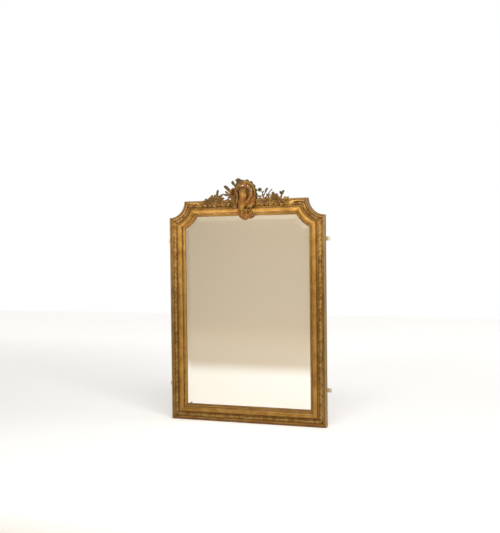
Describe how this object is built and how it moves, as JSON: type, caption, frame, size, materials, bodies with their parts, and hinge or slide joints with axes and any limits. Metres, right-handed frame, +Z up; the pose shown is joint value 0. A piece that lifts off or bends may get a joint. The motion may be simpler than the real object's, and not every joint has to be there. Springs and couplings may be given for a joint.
{
  "type": "overmantel mirror",
  "caption": "Tall gilt overmantel mirror with concave top corners, leaf-ornamented moulding, carved rococo crest with flower sprays, bevelled plate and plank back.",
  "frame": {"origin": "middle of the frame's width, at the frame's foot, on the plane of the wall behind it", "axes": "+X across the frame, to the right of someone who faces the mirror; +Y back into the wall; +Z up"},
  "size_m": [1.052, 0.0774, 1.52],
  "materials": {
    "carcass_pine": "sawn pine, aged",
    "block_pine": "rough pine, aged dark",
    "backboard_pine": "rough-sawn pine, aged dark",
    "gilt_moulding": "gold leaf over red bole and gesso, rubbed and toned",
    "gilt_leaf_strip": "gold leaf over pressed composition, dulled",
    "gilt_bead": "gold leaf over gesso, rubbed",
    "mirror_glass": "silvered plate with a polished bevel",
    "plate_brass": "dull, pale with verdigris",
    "strap_iron": "wrought, dark and lightly rusted",
    "dark_steel": "dulled, dark",
    "gilt_cartouche": "gold leaf over red bole, rubbed bright on the high parts",
    "gilt_crest_leaf": "gold leaf, dusty and greyed in the hollows",
    "gilt_spray": "gold leaf, dusty and greyed in the hollows"
  },
  "bodies": {
    "root": {"left_stile": "carcass_pine", "right_stile": "carcass_pine", "top_rail": "carcass_pine", "bottom_rail": "carcass_pine", "left_corner_block": "carcass_pine", "right_corner_block": "carcass_pine", "corner_keys": "block_pine", "glazing_blocks": "block_pine", "crest_block": "block_pine", "backboard_1": "backboard_pine", "backboard_2": "backboard_pine", "backboard_3": "backboard_pine", "backboard_4": "backboard_pine", "backboard_5": "backboard_pine", "backboard_6": "backboard_pine", "left_moulding": "gilt_moulding", "right_moulding": "gilt_moulding", "top_moulding": "gilt_moulding", "bottom_moulding": "gilt_moulding", "left_corner_moulding": "gilt_moulding", "right_corner_moulding": "gilt_moulding", "left_leaf_strip": "gilt_leaf_strip", "right_leaf_strip": "gilt_leaf_strip", "bottom_leaf_strip": "gilt_leaf_strip", "top_left_leaf_strip": "gilt_leaf_strip", "top_right_leaf_strip": "gilt_leaf_strip", "left_corner_leaf_strip": "gilt_leaf_strip", "right_corner_leaf_strip": "gilt_leaf_strip", "left_sight_bead": "gilt_bead", "right_sight_bead": "gilt_bead", "top_sight_bead": "gilt_bead", "bottom_sight_bead": "gilt_bead", "left_corner_sight_bead": "gilt_bead", "right_corner_sight_bead": "gilt_bead", "mirror_plate": "mirror_glass", "lower_left_wall_plate": "plate_brass", "lower_right_wall_plate": "plate_brass", "upper_left_wall_plate": "plate_brass", "upper_right_wall_plate": "plate_brass", "wall_plate_screws": "plate_brass", "left_crest_strap": "strap_iron", "right_crest_strap": "strap_iron", "backboard_nails": "dark_steel", "crest_strap_screws": "dark_steel", "cartouche": "gilt_cartouche", "pendant": "gilt_cartouche", "cartouche_rim": "gilt_crest_leaf", "left_scroll": "gilt_crest_leaf", "acanthus_leaves": "gilt_crest_leaf", "finial_leaves": "gilt_crest_leaf", "left_spray": "gilt_spray", "right_spray": "gilt_spray"}
  },
  "joints": []
}
